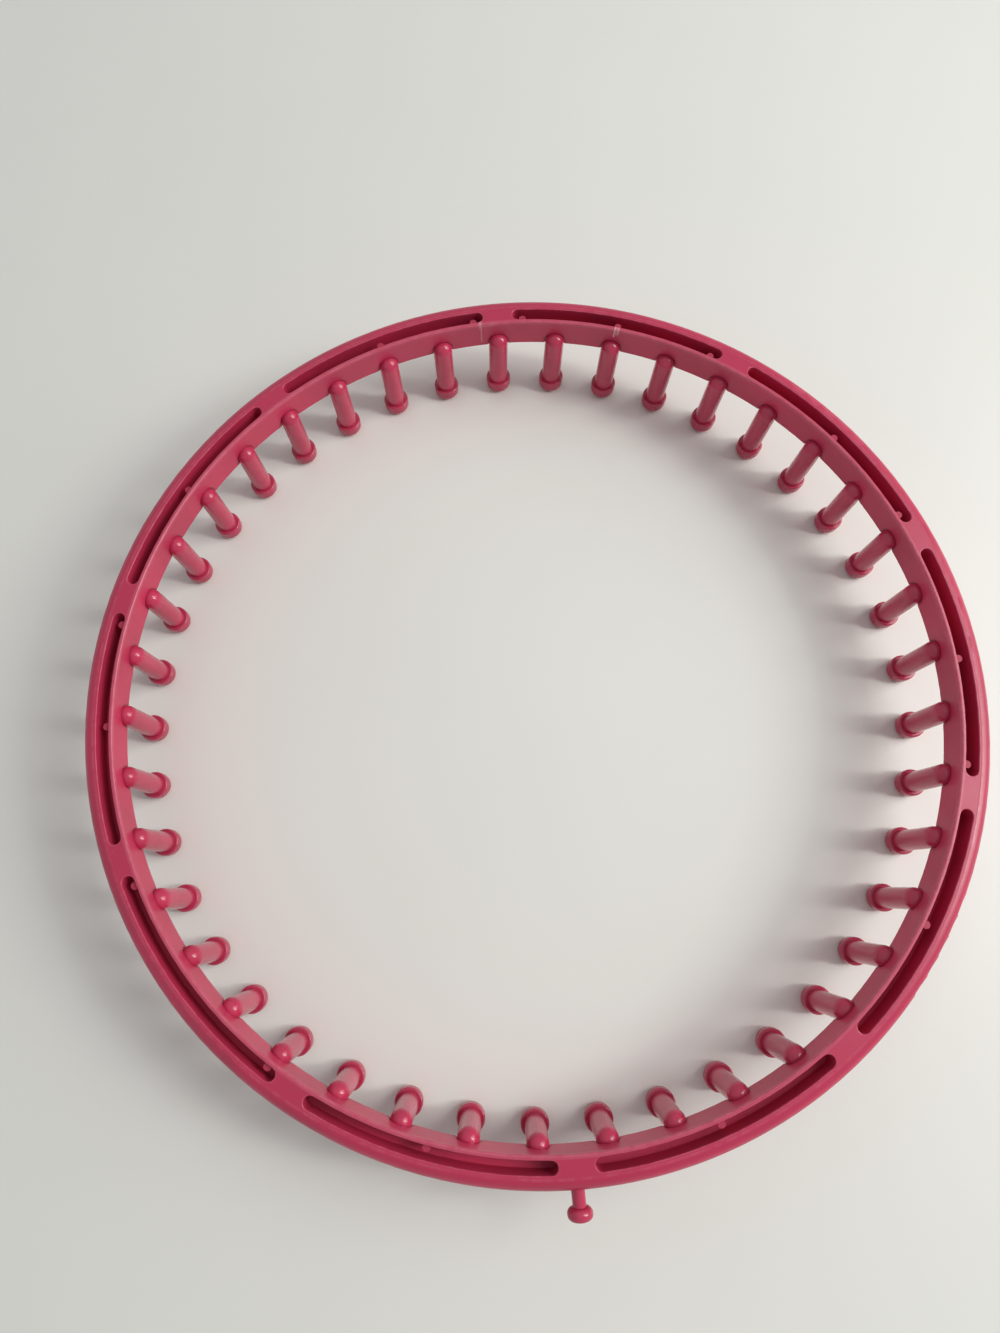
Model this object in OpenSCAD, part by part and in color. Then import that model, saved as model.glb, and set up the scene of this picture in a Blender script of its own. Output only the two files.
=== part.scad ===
// Round knitting loom, lying as it is stored: the slotted face of the ring is up
// and the loom stands on the ends of its peg heads.
// Millimetres, +Z up, origin on the ring's axis in the plane of the peg heads.
// The anchor peg points along -Y and one peg stands at +Y.

/* [Ring] */
// outside diameter of the ring
outer_d = 290; // [220:1:340]
// radial width of the ring from inner wall to outer wall
band_w = 10.2; // [9.8:0.1:13]
// height of the ring from its peg side to its slotted face
band_h = 11.4; // [10.6:0.1:16]
// radius of the rounded outer shoulder beside the slotted face
shoulder_r = 4; // [2:0.1:4.4]
// radius of the edge between the slotted face and the inner wall
inner_edge_r = 0.7; // [0.3:0.1:1]
// radius of the outer edge on the peg side
peg_side_edge_r = 1.2; // [0.4:0.1:2]

/* [Slots] */
// number of slots around the slotted face
slot_count = 10; // [6:1:12]
// width of a slot across the ring
slot_w = 3.9; // [3:0.1:4.2]
// thickness of the wall between a slot and the inner wall
inner_land = 1.4; // [1.2:0.1:1.8]
// solid web between two slots, measured along their middle circle
web_w = 10.6; // [9:0.1:20]
// depth of a slot below the slotted face
slot_depth = 7.4; // [5:0.1:7.6]
// radius of the rounded edge at the mouth of a slot
slot_mouth_r = 0.3; // [0.1:0.1:0.4]
// step in from a slot's side walls to its round ends
slot_end_step = 0.05; // [0.03:0.01:0.15]
// diameter of the round pads that stand against a slot's inner wall
pad_d = 2.4; // [1.6:0.1:2.8]
// distance of a pad's centre from the slot's inner wall
pad_offset = 0.7; // [0.3:0.1:0.9]
// distance from an end pad's centre to the end of its slot
pad_end_gap = 3.6; // [3:0.1:6]
// how far the top of a pad lies below the slotted face
pad_drop = 0.9; // [0.4:0.1:1.5]

/* [Pegs] */
// number of pegs
peg_count = 41; // [24:1:41]
// length of a peg from the ring's peg side to the end of its head
peg_reach = 25.4; // [20:0.1:45]
// diameter of a peg's shaft
shaft_d = 6.9; // [6.4:0.1:7.2]
// diameter of a peg's head
head_d = 9.2; // [8.4:0.1:9.8]
// height of a peg's head
head_h = 5.3; // [5:0.1:8]
// radius of the rounding at the free end of a head
head_end_r = 2.2; // [1:0.1:2.8]
// radius of the head's edge on the shaft side
head_rim_r = 0.6; // [0.3:0.1:0.9]
// height of a peg's domed root above the ring's peg side
dome_rise = 5; // [4.4:0.1:7]
// width of the hook groove in the outward side of a peg
groove_w = 1.8; // [1:0.1:2.4]
// depth of the hook groove below the shaft's surface
groove_depth = 0.9; // [0.4:0.1:1.2]
// length of shaft left whole between the hook groove and the ring
groove_stop = 4; // [2:0.1:8]

/* [Seats] */
// depth of the flat seat cut into the inner wall behind each peg's root
seat_depth = 0.15; // [0.1:0.05:0.3]
// distance of the pegs' axes inside the inner wall
peg_inset = 0.3; // [0.2:0.05:0.6]
// clearance between a seated piece and the wall beside it
seat_gap = 0.3; // [0.2:0.05:0.4]
// diameter of the spigot that holds a peg in the ring
spigot_d = 2; // [1.6:0.1:2.2]
// length of the spigot that holds a peg in the ring
spigot_l = 2.4; // [1.5:0.1:2.6]
// distance of a spigot's centre outside the peg's own axis
spigot_offset = 2; // [1.8:0.05:2.1]

/* [Anchor peg] */
// height of the anchor peg's axis above the ring's peg side
anchor_rise = 4.8; // [4:0.1:5.6]
// diameter of the anchor peg's shaft
anchor_d = 4; // [3.4:0.1:4.6]
// length of the anchor peg outside the ring
anchor_reach = 8.9; // [8:0.1:14]
// diameter of the anchor peg's head
anchor_head_d = 7.5; // [6:0.1:9]
// length of the anchor peg's head
anchor_head_l = 3.7; // [3.6:0.1:5.6]
// radius of the rounding on the anchor peg's head
anchor_head_r = 1.7; // [1:0.1:1.8]
// diameter of the spigot that holds the anchor peg in the ring
anchor_spigot_d = 3; // [2:0.1:3]
// length of the spigot that holds the anchor peg in the ring
anchor_spigot_l = 5; // [3:0.1:6]

/* [Colour] */
// colour of the moulded plastic
plastic_colour = "#bf3d59"; // ["#bf3d59", "#2f7fb8", "#e3b53a", "#5a9e57"]

/* [Hidden] */
ring_fn = 240;
peg_fn = 48;
overlap = 0.5;
outer_r = outer_d / 2;
inner_r = outer_r - band_w;
face_z = peg_reach + band_h;
slot_in_r = inner_r + inner_land;
slot_mid_r = slot_in_r + slot_w / 2;
slot_pitch = 360 / slot_count;
slot_end_r = slot_w / 2 - slot_end_step;
slot_end_a = slot_pitch / 2 - (web_w / 2 + slot_end_r) / slot_mid_r * 180 / PI;
pad_r = slot_in_r + pad_offset;
// pads of each slot in turn: 0 for the middle of the slot, -1 and 1 for its two ends
pad_places = [[0], [0], [-1, 0], [-1, 0], [-1, 0, 1], [-1, 0], [0], [-1, 0], [-1, 1], [0]];
pad_a = slot_end_a + (slot_end_r - pad_end_gap) / slot_mid_r * 180 / PI;
peg_pitch = 360 / peg_count;
peg_r = inner_r - peg_inset;
root_back = peg_inset + seat_depth;
shaft_r = shaft_d / 2;
head_r = head_d / 2;
anchor_z = peg_reach + anchor_rise;
anchor_in_r = outer_r - anchor_spigot_l;
anchor_out_r = outer_r + anchor_reach;

function peg_name(i) = str("peg_", i < 9 ? "0" : "", i + 1);

// piece cut from the corner of a profile to round it, for a corner at the origin
// whose material lies towards (sx, sy)
module corner_cut(r, sx, sy) {
  difference() {
    translate([sx < 0 ? -r : -overlap, sy < 0 ? -r : -overlap])
      square([r + overlap, r + overlap]);
    translate([sx * r, sy * r])
      circle(r = r, $fn = peg_fn);
  }
}

module ring_profile() {
  difference() {
    translate([inner_r, peg_reach])
      square([band_w, band_h]);
    translate([outer_r, face_z])
      corner_cut(shoulder_r, -1, -1);
    translate([inner_r, face_z])
      corner_cut(inner_edge_r, 1, -1);
    translate([outer_r, peg_reach])
      corner_cut(peg_side_edge_r, -1, 1);
  }
}

// half profile of a slot about its middle line, opened out at the mouth by its rounded edge
module slot_profile(half_w) {
  translate([0, face_z - slot_depth])
    square([half_w, slot_depth + overlap]);
  translate([half_w, face_z])
    corner_cut(slot_mouth_r, 1, -1);
}

// one slot with round ends, centred on +X
module slot_cut() {
  rotate([0, 0, -slot_end_a])
    rotate_extrude(angle = 2 * slot_end_a, $fn = ring_fn)
      translate([slot_mid_r, 0])
        for (side = [0, 1])
          mirror([side, 0])
            slot_profile(slot_w / 2);
  for (side = [-1, 1])
    rotate([0, 0, side * slot_end_a])
      translate([slot_mid_r, 0, 0])
        rotate_extrude($fn = peg_fn)
          slot_profile(slot_end_r);
}

// round pads against the inner wall of one slot, at the given places
module slot_pads(places) {
  for (place = places)
    rotate([0, 0, place * pad_a])
      translate([pad_r, 0, face_z - slot_depth - overlap])
        cylinder(d = pad_d, h = slot_depth - pad_drop + overlap, $fn = peg_fn);
}

// blind hole in the peg side that takes a peg's spigot
module peg_socket(i) {
  rotate([0, 0, 90 + i * peg_pitch])
    translate([peg_r + spigot_offset, 0, peg_reach - overlap])
      cylinder(d = spigot_d + 2 * seat_gap, h = spigot_l + overlap, $fn = peg_fn);
}

// outline of a peg's root as seen along the radius, grown by a margin and drawn out below
module root_outline(margin, below) {
  translate([-shaft_r - margin, -below])
    square([shaft_d + 2 * margin, dome_rise - shaft_r + below]);
  intersection() {
    translate([0, dome_rise - shaft_r])
      circle(r = shaft_r + margin, $fn = peg_fn);
    translate([-shaft_d, 0])
      square([2 * shaft_d, 2 * dome_rise]);
  }
}

// arched flat seat in the inner wall for a peg's root
module peg_seat(i) {
  rotate([0, 0, 90 + i * peg_pitch])
    translate([inner_r - overlap, 0, peg_reach])
      rotate([90, 0, 90])
        linear_extrude(height = overlap + seat_depth)
          root_outline(seat_gap, overlap);
}

module ring() {
  color(plastic_colour)
    difference() {
      union() {
        difference() {
          rotate_extrude($fn = ring_fn)
            ring_profile();
          for (k = [0 : slot_count - 1])
            rotate([0, 0, -90 + (k + 0.5) * slot_pitch])
              slot_cut();
        }
        for (k = [0 : slot_count - 1])
          rotate([0, 0, -90 + (k + 0.5) * slot_pitch])
            slot_pads(pad_places[k % len(pad_places)]);
      }
      for (i = [0 : peg_count - 1])
        peg_socket(i);
      for (i = [0 : peg_count - 1])
        peg_seat(i);
      translate([0, -anchor_in_r, anchor_z])
        rotate([90, 0, 0])
          cylinder(d = anchor_spigot_d + 2 * seat_gap, h = anchor_spigot_l + overlap, $fn = peg_fn);
    }
}

// half profile of the head and of the shaft up to the ring's peg side
module peg_profile() {
  difference() {
    square([head_r, head_h]);
    translate([head_r, 0])
      corner_cut(head_end_r, -1, 1);
    translate([head_r, head_h])
      corner_cut(head_rim_r, -1, -1);
  }
  square([shaft_r, peg_reach]);
}

// half profile of the domed root that lies against the inner wall
module root_profile() {
  translate([0, peg_reach - overlap])
    square([shaft_r, dome_rise - shaft_r + overlap]);
  intersection() {
    translate([0, peg_reach + dome_rise - shaft_r])
      circle(r = shaft_r, $fn = peg_fn);
    translate([0, peg_reach])
      square([shaft_r, dome_rise]);
  }
}

// one peg on its own axis, its outward side towards +X
module peg_body() {
  difference() {
    rotate_extrude($fn = peg_fn)
      peg_profile();
    translate([shaft_r - groove_depth, -groove_w / 2, -overlap])
      cube([head_r, groove_w, peg_reach - groove_stop + overlap]);
  }
  rotate([0, 0, 90])
    rotate_extrude(angle = 180, $fn = peg_fn)
      root_profile();
  translate([0, 0, peg_reach])
    rotate([90, 0, 90])
      linear_extrude(height = root_back)
        root_outline(0, 0);
  translate([spigot_offset, 0, peg_reach - overlap])
    cylinder(d = spigot_d, h = spigot_l + overlap, $fn = peg_fn);
}

module peg(i) {
  color(plastic_colour)
    rotate([0, 0, 90 + i * peg_pitch])
      translate([peg_r, 0, 0])
        peg_body();
}

// half profile of the anchor peg along its own axis, from the end of its spigot outwards
module anchor_profile() {
  square([anchor_spigot_d / 2, anchor_spigot_l + overlap]);
  translate([0, anchor_spigot_l + seat_gap])
    square([anchor_d / 2, anchor_reach - seat_gap - anchor_head_l / 2]);
  difference() {
    translate([0, anchor_spigot_l + anchor_reach - anchor_head_l])
      square([anchor_head_d / 2, anchor_head_l]);
    translate([anchor_head_d / 2, anchor_spigot_l + anchor_reach])
      corner_cut(anchor_head_r, -1, -1);
    translate([anchor_head_d / 2, anchor_spigot_l + anchor_reach - anchor_head_l])
      corner_cut(anchor_head_r, -1, 1);
  }
}

module anchor_peg() {
  color(plastic_colour)
    translate([0, -anchor_in_r, anchor_z])
      rotate([90, 0, 0])
        rotate_extrude($fn = peg_fn)
          anchor_profile();
}

ring();
for (i = [0 : peg_count - 1])
  peg(i);
anchor_peg();
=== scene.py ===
import bpy
import math
from mathutils import Euler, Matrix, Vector

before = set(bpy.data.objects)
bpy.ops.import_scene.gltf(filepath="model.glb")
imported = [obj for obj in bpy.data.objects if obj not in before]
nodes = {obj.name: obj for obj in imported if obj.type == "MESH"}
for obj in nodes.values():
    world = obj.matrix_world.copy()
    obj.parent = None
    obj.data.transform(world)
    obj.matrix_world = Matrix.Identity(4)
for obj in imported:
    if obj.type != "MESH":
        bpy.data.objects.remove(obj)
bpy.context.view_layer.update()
print("frame loaded:", len(nodes), "pieces")

# sizes of the loom in mm, the same as the solids
loom = {
    "innerR": 134.8,
    "outerR": 145.0,
    "faceZ": 36.8,
    "pegSideZ": 25.4,
    "shoulderR": 4.0,
    "slots": 10,
    "slotMidR": 138.15,
    "slotW": 3.9,
    "webW": 10.6,
    "pegs": 41,
    "pegR": 134.5,
    "shaftR": 3.45,
    "headR": 4.6,
    "headH": 5.3,
    "domeRise": 5.0,
}
mmPerMetre = 1000.0


# small helpers for node trees
def newNode(tree, kind, x=0, **settings):
    n = tree.nodes.new(kind)
    n.location = (x, 0)
    for key, value in settings.items():
        setattr(n, key, value)
    return n


def feed(tree, value, socket):
    if isinstance(value, bpy.types.NodeSocket):
        tree.links.new(value, socket)
    else:
        socket.default_value = value


def calc(tree, operation, a, b=None, c=None, clamp=False):
    n = newNode(tree, "ShaderNodeMath", operation=operation, use_clamp=clamp)
    for i, value in enumerate((a, b, c)):
        if value is not None:
            feed(tree, value, n.inputs[i])
    return n.outputs[0]


def plus(tree, a, b):
    return calc(tree, "ADD", a, b)


def minus(tree, a, b):
    return calc(tree, "SUBTRACT", a, b)


def times(tree, a, b):
    return calc(tree, "MULTIPLY", a, b)


def larger(tree, a, b):
    return calc(tree, "MAXIMUM", a, b)


def distance(tree, a, b):
    return calc(tree, "SQRT", plus(tree, times(tree, a, a), times(tree, b, b)))


def ramp(tree, value, lo, hi, outLo=0.0, outHi=1.0):
    n = newNode(tree, "ShaderNodeMapRange", interpolation_type="SMOOTHSTEP")
    feed(tree, value, n.inputs["Value"])
    ends = {"From Min": lo, "From Max": hi, "To Min": outLo, "To Max": outHi}
    for name, v in ends.items():
        feed(tree, v, n.inputs[name])
    return n.outputs["Result"]


def fade(tree, value, lo, hi):
    return ramp(tree, value, lo, hi, 1.0, 0.0)  # 1 up to lo, 0 from hi on


def noise(tree, vector, scale, detail=3.0, rough=0.5):
    n = newNode(tree, "ShaderNodeTexNoise")
    feed(tree, vector, n.inputs["Vector"])
    feed(tree, scale, n.inputs["Scale"])
    n.inputs["Detail"].default_value = detail
    n.inputs["Roughness"].default_value = rough
    return n.outputs["Fac"]


def mixColor(tree, factor, a, b):
    n = newNode(tree, "ShaderNodeMix", data_type="RGBA")
    feed(tree, factor, n.inputs[0])
    feed(tree, a, n.inputs[6])
    feed(tree, b, n.inputs[7])
    return n.outputs[2]


def bumpFrom(tree, height, strength, size):
    n = newNode(tree, "ShaderNodeBump")
    n.inputs["Strength"].default_value = strength
    n.inputs["Distance"].default_value = size
    feed(tree, height, n.inputs["Height"])
    return n.outputs[0]


def newGroup(name, inputs, outputs):
    g = bpy.data.node_groups.new(name, "ShaderNodeTree")
    for label, value in inputs.items():
        s = g.interface.new_socket(label, in_out="INPUT", socket_type="NodeSocketFloat")
        s.default_value = value
    for label in outputs:
        g.interface.new_socket(label, in_out="OUTPUT", socket_type="NodeSocketFloat")
    groupIn = newNode(g, "NodeGroupInput", -900)
    groupOut = newNode(g, "NodeGroupOutput", 900)
    return g, groupIn.outputs, groupOut.inputs


def useGroup(tree, group, **values):
    n = newNode(tree, "ShaderNodeGroup")
    n.node_tree = group
    for key, value in values.items():
        feed(tree, value, n.inputs[key])
    return n.outputs


def objectPlace(tree):
    return newNode(tree, "ShaderNodeTexCoord").outputs["Object"]


# place on the loom in mm: distance from the axis, angle from +Y, height
polarGroup, _, gOut = newGroup("Loom Polar", {}, ["Radius", "Angle", "Height"])
g = polarGroup
parts = newNode(g, "ShaderNodeSeparateXYZ")
feed(g, objectPlace(g), parts.inputs[0])
px, py, pz = (times(g, parts.outputs[i], mmPerMetre) for i in range(3))
feed(g, distance(g, px, py), gOut["Radius"])
feed(g, calc(g, "ARCTAN2", times(g, px, -1.0), py), gOut["Angle"])
feed(g, pz, gOut["Height"])

# place on the nearest peg: out along the radius, across it, height, and a random number per peg
pegGroup, _, gOut = newGroup("Peg Place", {}, ["Out", "Across", "Height", "Random"])
g = pegGroup
polar = useGroup(g, polarGroup)
pitch = 2 * math.pi / loom["pegs"]
turn = calc(g, "DIVIDE", polar["Angle"], pitch)
index = calc(g, "ROUND", turn)
delta = times(g, minus(g, turn, index), pitch)
outward = times(g, polar["Radius"], calc(g, "COSINE", delta))
feed(g, minus(g, outward, loom["pegR"]), gOut["Out"])
feed(g, times(g, polar["Radius"], calc(g, "SINE", delta)), gOut["Across"])
feed(g, polar["Height"], gOut["Height"])
white = newNode(g, "ShaderNodeTexWhiteNoise", noise_dimensions="1D")
feed(g, index, white.inputs["W"])
feed(g, white.outputs["Value"], gOut["Random"])

# moulded plastic: fine grain, slow mottle, cloudy patches and a few specks
grainLook = {
    "fineDetail": (2.0, 0.6),
    "slowDetail": (4.0, 0.55),
    "cloud": 260.0,
    "cloudDetail": (3.0, 0.6),
    "specks": 380.0,
    "speckR": (0.05, 0.09),
    "rare": 120.0,
    "rareDetail": 1.0,
    "rareFrom": (0.62, 0.70),
}
grainGroup, gIn, gOut = newGroup(
    "Moulded Grain", {"Grain": 2600.0, "Mottle": 45.0}, ["Height", "Mottle", "Cloud", "Specks"]
)
g = grainGroup
place = objectPlace(g)
feed(g, noise(g, place, gIn["Grain"], *grainLook["fineDetail"]), gOut["Height"])
feed(g, noise(g, place, gIn["Mottle"], *grainLook["slowDetail"]), gOut["Mottle"])
feed(g, noise(g, place, grainLook["cloud"], *grainLook["cloudDetail"]), gOut["Cloud"])
speck = newNode(g, "ShaderNodeTexVoronoi")
feed(g, place, speck.inputs["Vector"])
speck.inputs["Scale"].default_value = grainLook["specks"]
dot = fade(g, speck.outputs["Distance"], *grainLook["speckR"])
rare = noise(g, place, grainLook["rare"], grainLook["rareDetail"])
rare = ramp(g, rare, *grainLook["rareFrom"])
feed(g, times(g, dot, rare), gOut["Specks"])

# rubbed edge: a narrow band where the distance in mm is small, broken up along its length
wearLook = {
    "scale": 420.0,
    "detail": (4.0, 0.65),
    "breaks": (0.36, 0.66, 0.15, 1.0),
    "fade": (0.25, 1.0),
}
wearGroup, gIn, gOut = newGroup("Rubbed Edge", {"Distance": 0.0, "Width": 0.3}, ["Mask"])
g = wearGroup
breakUp = noise(g, objectPlace(g), wearLook["scale"], *wearLook["detail"])
breakUp = ramp(g, breakUp, *wearLook["breaks"])
gap = calc(g, "DIVIDE", calc(g, "ABSOLUTE", gIn["Distance"]), gIn["Width"])
feed(g, times(g, fade(g, gap, *wearLook["fade"]), breakUp), gOut["Mask"])

# hairline: a thin wavering line along one coordinate, between two ends of the other
hairLook = {"scale": 500.0, "detail": 2.0, "fade": (0.3, 1.0), "ends": (-0.2, 0.3)}
hairGroup, gIn, gOut = newGroup(
    "Hairline",
    {"Off": 0.0, "Along": 0.0, "Start": 0.0, "End": 1.0, "Width": 0.15, "Waver": 0.2},
    ["Mask"],
)
g = hairGroup
wave = minus(g, noise(g, objectPlace(g), hairLook["scale"], hairLook["detail"]), 0.5)
off = calc(g, "ABSOLUTE", plus(g, gIn["Off"], times(g, wave, gIn["Waver"])))
line = fade(g, calc(g, "DIVIDE", off, gIn["Width"]), *hairLook["fade"])
before = ramp(g, minus(g, gIn["Along"], gIn["Start"]), *hairLook["ends"])
after = ramp(g, minus(g, gIn["End"], gIn["Along"]), *hairLook["ends"])
feed(g, times(g, line, times(g, before, after)), gOut["Mask"])
allRound = {"Along": 0.5, "Start": -9.0, "End": 9.0}  # a hairline with no ends
print("node groups made")


def startMaterial(name):
    m = bpy.data.materials.new(name)
    m.use_nodes = True
    tree = m.node_tree
    tree.nodes.clear()
    shader = newNode(tree, "ShaderNodeBsdfPrincipled", 900)
    out = newNode(tree, "ShaderNodeOutputMaterial", 1200)
    tree.links.new(shader.outputs[0], out.inputs[0])
    return m, tree, shader


def dress(name, material):
    for slot in nodes[name].material_slots:
        slot.material = material


plasticIor = 1.49
mottleEnds = (0.3, 0.7)  # where the mottle turns from deep to plain colour

# ring: satin face, smoother walls; radii, heights and widths in mm
ringLook = {
    "color": (0.57, 0.030, 0.096, 1),
    "deep": (0.46, 0.025, 0.077, 1),
    "pale": (0.62, 0.16, 0.22, 1),
    "stress": (0.78, 0.50, 0.53, 1),
    "shade": (0.36, 0.022, 0.055, 1),
    "paintedRootShade": (0.24, 0.017, 0.040, 1),
    "grain": 2400.0,
    "mottle": 38.0,
    "faceDepth": (0.15, 0.9),
    "paintedFaceShade": 0.75,
    "wear": 0.45,
    "specks": 0.35,
    "paintedRimHighlight": 0.3,
    "rimDepth": (0.5, 1.5),
    "rimR": (135.8, 136.2),
    "rimPatchy": (0.25, 0.6, 0.55, 1.0),
    "slotOff": (0.02, 0.2),
    "slotDepth": (0.25, 0.6),
    "slotShade": 0.05,
    "padShade": 0.7,
    "padOff": (-0.25, -0.1),
    "padDepth": (1.0, 1.4),
    "rootShadeShare": 0.75,
    "rootShadeOff": (0.25, 0.75),
    "rootShadeR": (135.3, 135.6),
    "rootShadePatchy": (0.2, 0.6, 0.7, 1.0),
    "faceRough": 0.29,
    "faceSpread": 0.16,
    "wallRough": 0.33,
    "wallSpread": 0.06,
    "rubbedSmooth": 0.08,
    "slotRough": 0.55,
    "spec": 0.5,
    "bump": 0.16,
    "bumpSize": 0.00012,
    "cloudBump": 0.8,
    "wallBump": 0.25,
    "partingAt": 0.05,
    "partingOff": (0.05, 0.3),
    "parting": 1.3,
    "slotEdge": {"at": 0.12, "width": 0.35, "share": 0.8},
    "crestEdge": {"at": 0.2, "width": 0.55, "share": 0.6},
    "innerEdge": {"at": 0.25, "width": 0.45, "share": 1.0},
    "markR": (136.3, 136.6),
    "markTop": 38.0,
    "marks": [
        {"angle": 2.58, "low": 27.2, "width": 0.3, "waver": 0.3, "strength": 0.3},
        {"angle": 2.75, "low": 34.8, "width": 0.7, "waver": 0.6, "strength": 0.3},
        {"angle": -17.66, "low": 32.6, "width": 0.32, "waver": 0.3, "strength": 0.75},
        {"angle": -18.0, "low": 34.0, "width": 0.95, "waver": 0.4, "strength": 0.28},
        {"angle": -18.25, "low": 34.4, "width": 0.26, "waver": 0.25, "strength": 0.6},
    ],
    "ledge": {
        "angle": 0.6, "height": 35.95, "length": 4.6,
        "width": 0.2, "waver": 0.15, "strength": 0.3,
    },
}
ringMat, t, shader = startMaterial("ringPlastic")
polar = useGroup(t, polarGroup)
radius, height = polar["Radius"], polar["Height"]
grain = useGroup(t, grainGroup, Grain=ringLook["grain"], Mottle=ringLook["mottle"])
depth = minus(t, loom["faceZ"], height)
onFace = fade(t, depth, *ringLook["faceDepth"])

# distance to the nearest slot's outline on the face
slotTurn = 2 * math.pi / loom["slots"]
turns = calc(t, "DIVIDE", polar["Angle"], slotTurn)
local = minus(t, calc(t, "FRACT", plus(t, turns, float(loom["slots"]))), 0.5)
arc = times(t, local, slotTurn * loom["slotMidR"])
straight = slotTurn / 2 * loom["slotMidR"] - loom["webW"] / 2 - loom["slotW"] / 2
past = larger(t, minus(t, calc(t, "ABSOLUTE", arc), straight), 0.0)
side = minus(t, radius, loom["slotMidR"])
toSlot = minus(t, distance(t, past, side), loom["slotW"] / 2)

# edges rubbed pale: the slots' mouths, the crest of the shoulder and the inner edge
crestR = loom["outerR"] - loom["shoulderR"]
toEdges = {
    "slotEdge": toSlot,
    "crestEdge": minus(t, radius, crestR),
    "innerEdge": minus(t, radius, loom["innerR"]),
}
wear = 0.0
for name, toEdge in toEdges.items():
    edge = ringLook[name]
    gap = minus(t, toEdge, edge["at"])
    mask = useGroup(t, wearGroup, Distance=gap, Width=edge["width"])["Mask"]
    wear = larger(t, wear, times(t, mask, edge["share"]))
wear = times(t, wear, onFace)

# painted highlight: a pale band along the inner rim's rounded top edge, in patches
paintedRimHighlight = times(t, fade(t, depth, *ringLook["rimDepth"]), fade(t, radius, *ringLook["rimR"]))
paintedRimHighlight = times(t, paintedRimHighlight, ramp(t, grain["Cloud"], *ringLook["rimPatchy"]))

# slot walls and floors, left rougher by the mould, and painted shade: the slots a little darker
# and the low tops of the pads darker still
inSlot = times(t, fade(t, toSlot, *ringLook["slotOff"]), ramp(t, depth, *ringLook["slotDepth"]))
padTop = times(t, fade(t, toSlot, *ringLook["padOff"]), fade(t, depth, *ringLook["padDepth"]))

# painted shade: a fine dark line on the inner wall around each peg's domed root, where the root
# meets the wall
place = useGroup(t, pegGroup)
domeFrom = loom["pegSideZ"] + loom["domeRise"] - loom["shaftR"]
above = larger(t, minus(t, place["Height"], domeFrom), 0.0)
toRoot = minus(t, distance(t, above, place["Across"]), loom["shaftR"])
paintedRootShade = times(t, fade(t, toRoot, *ringLook["rootShadeOff"]), fade(t, radius, *ringLook["rootShadeR"]))
paintedRootShade = times(t, paintedRootShade, ramp(t, grain["Cloud"], *ringLook["rootShadePatchy"]))


def alongWall(angle):
    return times(t, minus(t, polar["Angle"], math.radians(angle)), loom["innerR"])


# two old stress marks, bent white, on the inner wall and its rim, and a short pale ledge
stress = 0.0
for mark in ringLook["marks"]:
    mask = useGroup(
        t, hairGroup, Off=alongWall(mark["angle"]), Along=height,
        Start=mark["low"], End=ringLook["markTop"], Width=mark["width"], Waver=mark["waver"],
    )["Mask"]
    stress = larger(t, stress, times(t, mask, mark["strength"]))
ledge = ringLook["ledge"]
mask = useGroup(
    t, hairGroup, Off=minus(t, height, ledge["height"]), Along=alongWall(ledge["angle"]),
    Start=0.0, End=ledge["length"], Width=ledge["width"], Waver=ledge["waver"],
)["Mask"]
stress = larger(t, stress, times(t, mask, ledge["strength"]))
stress = times(t, stress, fade(t, radius, *ringLook["markR"]))

tone = mixColor(t, ramp(t, grain["Mottle"], *mottleEnds), ringLook["deep"], ringLook["color"])
layers = (
    # painted shade: the flat top face is mixed towards the deep tone
    (onFace, "paintedFaceShade", "deep"),
    (wear, "wear", "pale"),
    (grain["Specks"], "specks", "pale"),
    (paintedRimHighlight, "paintedRimHighlight", "pale"),
    (inSlot, "slotShade", "shade"),
    (padTop, "padShade", "shade"),
    (paintedRootShade, "rootShadeShare", "paintedRootShade"),
)
for mask, share, color in layers:
    tone = mixColor(t, times(t, mask, ringLook[share]), tone, ringLook[color])
tone = mixColor(t, stress, tone, ringLook["stress"])
feed(t, tone, shader.inputs["Base Color"])

roughFace = plus(t, ringLook["faceRough"], times(t, grain["Cloud"], ringLook["faceSpread"]))
roughWall = plus(t, ringLook["wallRough"], times(t, grain["Cloud"], ringLook["wallSpread"]))
offFace = minus(t, 1.0, onFace)
rough = plus(t, times(t, roughFace, onFace), times(t, roughWall, offFace))
rough = minus(t, rough, times(t, larger(t, wear, paintedRimHighlight), ringLook["rubbedSmooth"]))
extra = times(t, minus(t, ringLook["slotRough"], rough), inSlot)
feed(t, plus(t, rough, extra), shader.inputs["Roughness"])

# grain, weaker on the walls, and the parting line, a faint ridge where face turns into shoulder
toParting = calc(t, "ABSOLUTE", minus(t, radius, crestR + ringLook["partingAt"]))
parting = times(t, fade(t, toParting, *ringLook["partingOff"]), onFace)
rise = plus(t, grain["Height"], times(t, grain["Cloud"], ringLook["cloudBump"]))
onWall = ringLook["wallBump"]
rise = times(t, rise, calc(t, "MULTIPLY_ADD", onFace, 1 - onWall, onWall))
rise = plus(t, rise, times(t, parting, ringLook["parting"]))
feed(t, bumpFrom(t, rise, ringLook["bump"], ringLook["bumpSize"]), shader.inputs["Normal"])
shader.inputs["IOR"].default_value = plasticIor
shader.inputs["Specular IOR Level"].default_value = ringLook["spec"]
dress("ring", ringMat)
print("ring done")

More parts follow.
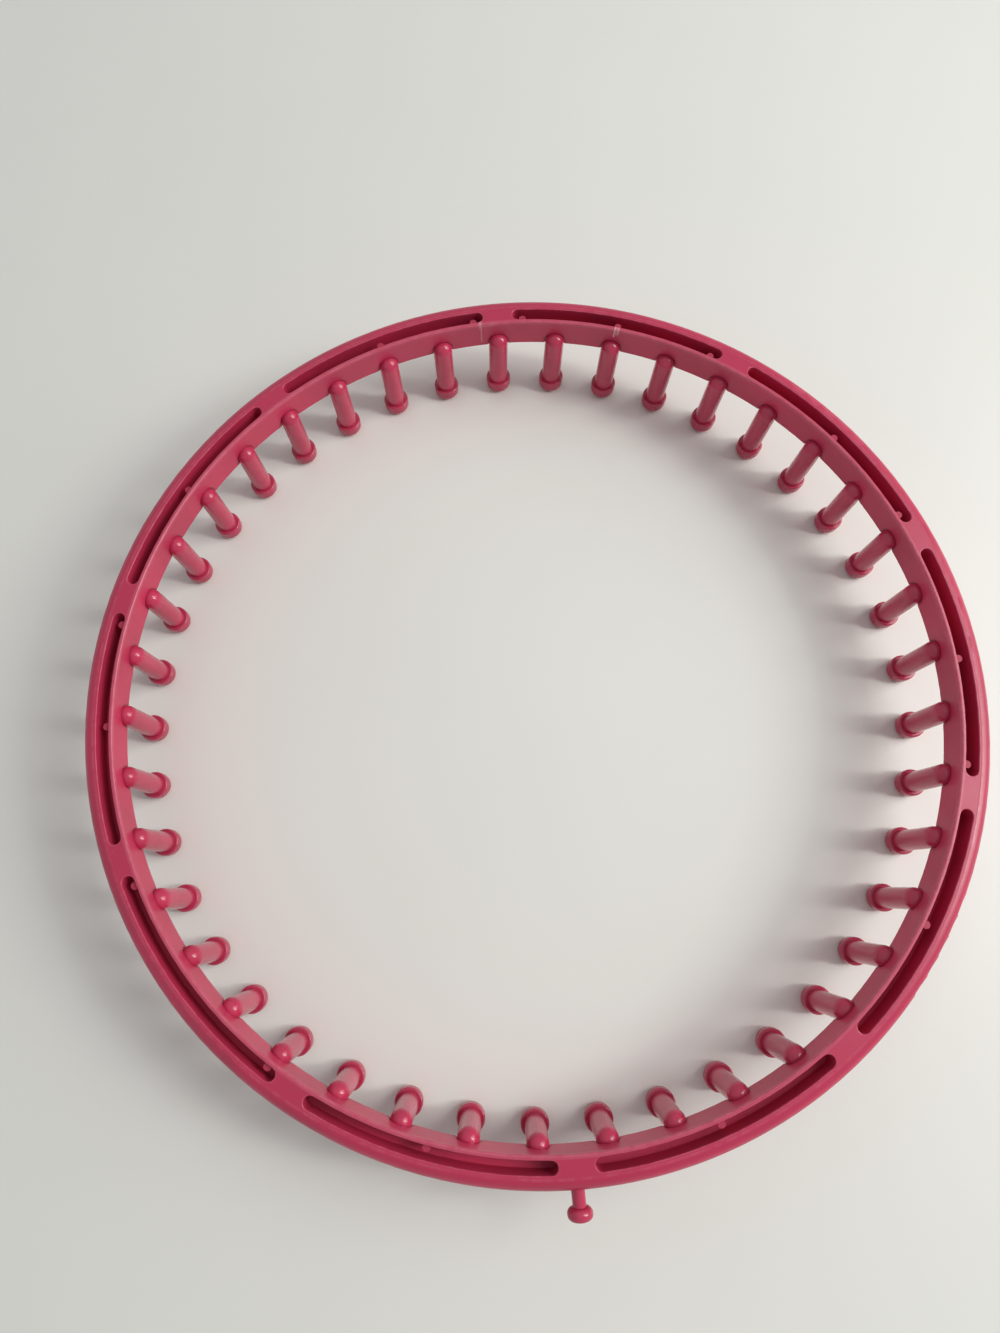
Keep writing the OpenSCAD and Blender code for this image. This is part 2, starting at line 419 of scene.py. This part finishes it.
# pegs and anchor: the same plastic, polished
pegLook = {
    "color": (0.54, 0.035, 0.098, 1),
    "deep": (0.47, 0.031, 0.083, 1),
    "paintedHeadShade": (0.36, 0.033, 0.072, 1),
    "pale": (0.64, 0.17, 0.24, 1),
    "grain": 3200.0,
    "mottle": 90.0,
    "rough": 0.15,
    "roughSpread": 0.08,
    "rubbedRough": 0.12,
    "bump": 0.06,
    "bumpSize": 0.00012,
    "creaseDeep": 1.5,
    "wear": 0.25,
    "rimDown": 0.3,
    "rimWidth": 0.5,
    "rimIn": (0.6, 0.2),
    "join": 0.25,
    "joinUp": 0.1,
    "joinWidth": 0.22,
    "joinWaver": 0.1,
    "creaseOff": (0.2, 1.1),
    "creaseR": (3.6, 4.3),
    "creaseDark": 0.7,
    "headDark": 0.45,
    "headFade": 0.8,
    "headShadePatchy": (0.2, 0.6, 0.7, 1.0),
    "darkest": 0.96,
    "vary": 0.08,
}


def polished(t, shader, grain, edge, crease):
    tone = mixColor(t, ramp(t, grain["Mottle"], *mottleEnds), pegLook["deep"], pegLook["color"])
    tone = mixColor(t, times(t, edge, pegLook["wear"]), tone, pegLook["pale"])
    tone = mixColor(t, times(t, crease, pegLook["join"]), tone, pegLook["deep"])
    rough = plus(t, pegLook["rough"], times(t, grain["Cloud"], pegLook["roughSpread"]))
    feed(t, plus(t, rough, times(t, edge, pegLook["rubbedRough"])), shader.inputs["Roughness"])
    rise = minus(t, grain["Height"], times(t, crease, pegLook["creaseDeep"]))
    feed(t, bumpFrom(t, rise, pegLook["bump"], pegLook["bumpSize"]), shader.inputs["Normal"])
    shader.inputs["IOR"].default_value = plasticIor
    return tone


pegMat, t, shader = startMaterial("pegPlastic")
place = useGroup(t, pegGroup)
height = place["Height"]
span = distance(t, place["Out"], place["Across"])
grain = useGroup(t, grainGroup, Grain=pegLook["grain"], Mottle=pegLook["mottle"])
toRim = minus(t, height, loom["headH"] - pegLook["rimDown"])
rimWear = useGroup(t, wearGroup, Distance=toRim, Width=pegLook["rimWidth"])["Mask"]
rimFrom, rimTo = (loom["headR"] - d for d in pegLook["rimIn"])
rimWear = times(t, rimWear, ramp(t, span, rimFrom, rimTo))
joinLine = useGroup(
    t, hairGroup, Off=minus(t, height, loom["pegSideZ"] + pegLook["joinUp"]),
    Width=pegLook["joinWidth"], Waver=pegLook["joinWaver"], **allRound,
)["Mask"]
tone = polished(t, shader, grain, rimWear, joinLine)
# painted shade: the heads a little darker, most of all in the crease under the shaft
toCrease = calc(t, "ABSOLUTE", minus(t, height, loom["headH"]))
crease = times(t, fade(t, toCrease, *pegLook["creaseOff"]), fade(t, span, *pegLook["creaseR"]))
onHead = fade(t, height, loom["headH"], loom["headH"] + pegLook["headFade"])
paintedHeadShade = larger(t, times(t, onHead, pegLook["headDark"]), times(t, crease, pegLook["creaseDark"]))
paintedHeadShade = times(t, paintedHeadShade, ramp(t, grain["Cloud"], *pegLook["headShadePatchy"]))
tone = mixColor(t, paintedHeadShade, tone, pegLook["paintedHeadShade"])
# each peg a little lighter or darker than the next
hue = newNode(t, "ShaderNodeHueSaturation")
value = plus(t, pegLook["darkest"], times(t, place["Random"], pegLook["vary"]))
feed(t, value, hue.inputs["Value"])
feed(t, tone, hue.inputs["Color"])
feed(t, hue.outputs[0], shader.inputs["Base Color"])
for name in nodes:
    if name.startswith("peg_"):
        dress(name, pegMat)
print("pegs done")

anchorLook = {
    "height": 30.2,
    "headR": 3.75,
    "headFrom": 150.2,
    "mottle": 110.0,
    "rimUp": 0.4,
    "rimWidth": 0.7,
    "rimIn": (1.2, 0.4),
    "footOut": 0.15,
    "footWidth": 0.3,
    "footWaver": 0.1,
}
anchorMat, t, shader = startMaterial("anchorPlastic")
polar = useGroup(t, polarGroup)
radius = polar["Radius"]
grain = useGroup(t, grainGroup, Grain=pegLook["grain"], Mottle=anchorLook["mottle"])
drop = minus(t, polar["Height"], anchorLook["height"])
sideways = times(t, radius, calc(t, "SINE", polar["Angle"]))
span = distance(t, drop, sideways)
toRim = minus(t, radius, anchorLook["headFrom"] + anchorLook["rimUp"])
rimWear = useGroup(t, wearGroup, Distance=toRim, Width=anchorLook["rimWidth"])["Mask"]
rimFrom, rimTo = (anchorLook["headR"] - d for d in anchorLook["rimIn"])
rimWear = times(t, rimWear, ramp(t, span, rimFrom, rimTo))
foot = useGroup(
    t, hairGroup, Off=minus(t, radius, loom["outerR"] + anchorLook["footOut"]),
    Width=anchorLook["footWidth"], Waver=anchorLook["footWaver"], **allRound,
)["Mask"]
feed(t, polished(t, shader, grain, rimWear, foot), shader.inputs["Base Color"])
dress("anchor_peg", anchorMat)
print("anchor done")

# floor: pale and smooth, just under the peg heads
floorLook = {
    "color": (0.795, 0.80, 0.758, 1),
    "patch": (0.765, 0.77, 0.728, 1),
    "patchScale": 14.0,
    "patchRange": (0.3, 0.7, 0.0, 0.35),
    "rough": 0.38,
    "roughSpread": 0.08,
    "size": 8.0,
    "z": -0.0001,
}
bpy.ops.mesh.primitive_plane_add(size=floorLook["size"], location=(0, 0, floorLook["z"]))
floor = bpy.context.object
floor.name = "floor"
floorMat, t, shader = startMaterial("floorPaint")
patch = noise(t, objectPlace(t), floorLook["patchScale"])
patchMask = ramp(t, patch, *floorLook["patchRange"])
tone = mixColor(t, patchMask, floorLook["color"], floorLook["patch"])
feed(t, tone, shader.inputs["Base Color"])
rough = plus(t, floorLook["rough"], times(t, patch, floorLook["roughSpread"]))
feed(t, rough, shader.inputs["Roughness"])
floor.data.materials.append(floorMat)
print("floor done")

# soft light: a tall lamp on the right for the shadows, two softer ones beside it, and one overhead
warm, mild = (1.0, 0.985, 0.95), (1.0, 0.99, 0.97)
lightLook = {
    "lamp": {"at": (1.15, -0.15, 0.96), "wide": 0.16, "tall": 0.45, "power": 5.0, "color": warm},
    "window": {"at": (0.834, 0.134, 1.244), "wide": 0.5, "tall": 0.5, "power": 3.7, "color": mild},
    "side": {"at": (1.17, 0.1, 0.9), "wide": 1.0, "tall": 1.0, "power": 10.0, "color": mild},
    "ceiling": {"at": (0.1, 0.3, 1.9), "wide": 2.2, "tall": 2.2, "power": 2.8, "color": mild},
}
for name, look in lightLook.items():
    data = bpy.data.lights.new(name, "AREA")
    data.shape = "RECTANGLE"
    data.size, data.size_y = look["wide"], look["tall"]
    data.energy = look["power"]
    data.color = look["color"]
    lamp = bpy.data.objects.new(name, data)
    lamp.location = look["at"]
    lamp.rotation_euler = (-Vector(look["at"])).to_track_quat("-Z", "Y").to_euler()
    bpy.context.scene.collection.objects.link(lamp)

# the room is brightest on the far left, with some low light from the near side
roomLook = {
    "color": (0.97, 0.98, 1.0, 1),
    "low": 0.17,
    "high": 0.71,
    "near": 0.85,
    "nearFlat": 3.0,
    "seen": 0.6,
}
world = bpy.data.worlds.new("room")
world.use_nodes = True
t = world.node_tree
back = t.nodes["Background"]
back.inputs["Color"].default_value = roomLook["color"]
parts = newNode(t, "ShaderNodeSeparateXYZ")
feed(t, newNode(t, "ShaderNodeTexCoord").outputs["Generated"], parts.inputs[0])
toX, toY, toZ = parts.outputs
far = calc(t, "MULTIPLY_ADD", toY, 0.5, 0.5)
left = calc(t, "MULTIPLY_ADD", toX, -0.5, 0.5)
rangeUp = roomLook["high"] - roomLook["low"]
glow = calc(t, "MULTIPLY_ADD", times(t, far, left), rangeUp, roomLook["low"])
near = calc(t, "MULTIPLY", toY, -1.0, clamp=True)
low = calc(t, "POWER", calc(t, "SUBTRACT", 1.0, toZ, clamp=True), roomLook["nearFlat"])
glow = calc(t, "MULTIPLY_ADD", times(t, near, low), roomLook["near"], glow)
# seen directly or in a gloss, the room is one plain pale grey
path = newNode(t, "ShaderNodeLightPath")
seen = path.outputs["Is Camera Ray"]
for ray in ("Is Glossy Ray", "Is Transmission Ray"):
    seen = larger(t, seen, path.outputs[ray])
plain = newNode(t, "ShaderNodeMix", data_type="FLOAT")
feed(t, seen, plain.inputs[0])
feed(t, glow, plain.inputs[2])
feed(t, roomLook["seen"], plain.inputs[3])
feed(t, plain.outputs[0], back.inputs["Strength"])
bpy.context.scene.world = world
print("light done")

# camera: above the ring and a little to the near side, worked out from the picture's circles
camLook = {
    "at": (-0.0156975, -0.0592747, 0.3039667),
    "turn": (13.2237, 1.0792, -4.4495),
    "lens": 23.126,
    "sensor": 36,
    "shift": (0.01323, 0.01362),
    "clip": 0.01,
}
camData = bpy.data.cameras.new("camera")
camData.sensor_width = camLook["sensor"]
camData.lens = camLook["lens"]
camData.shift_x, camData.shift_y = camLook["shift"]
camData.clip_start = camLook["clip"]
cam = bpy.data.objects.new("camera", camData)
cam.location = camLook["at"]
cam.rotation_euler = Euler([math.radians(a) for a in camLook["turn"]])
bpy.context.scene.collection.objects.link(cam)
bpy.context.scene.camera = cam
bpy.context.scene.view_settings.view_transform = "Standard"
print("camera done")
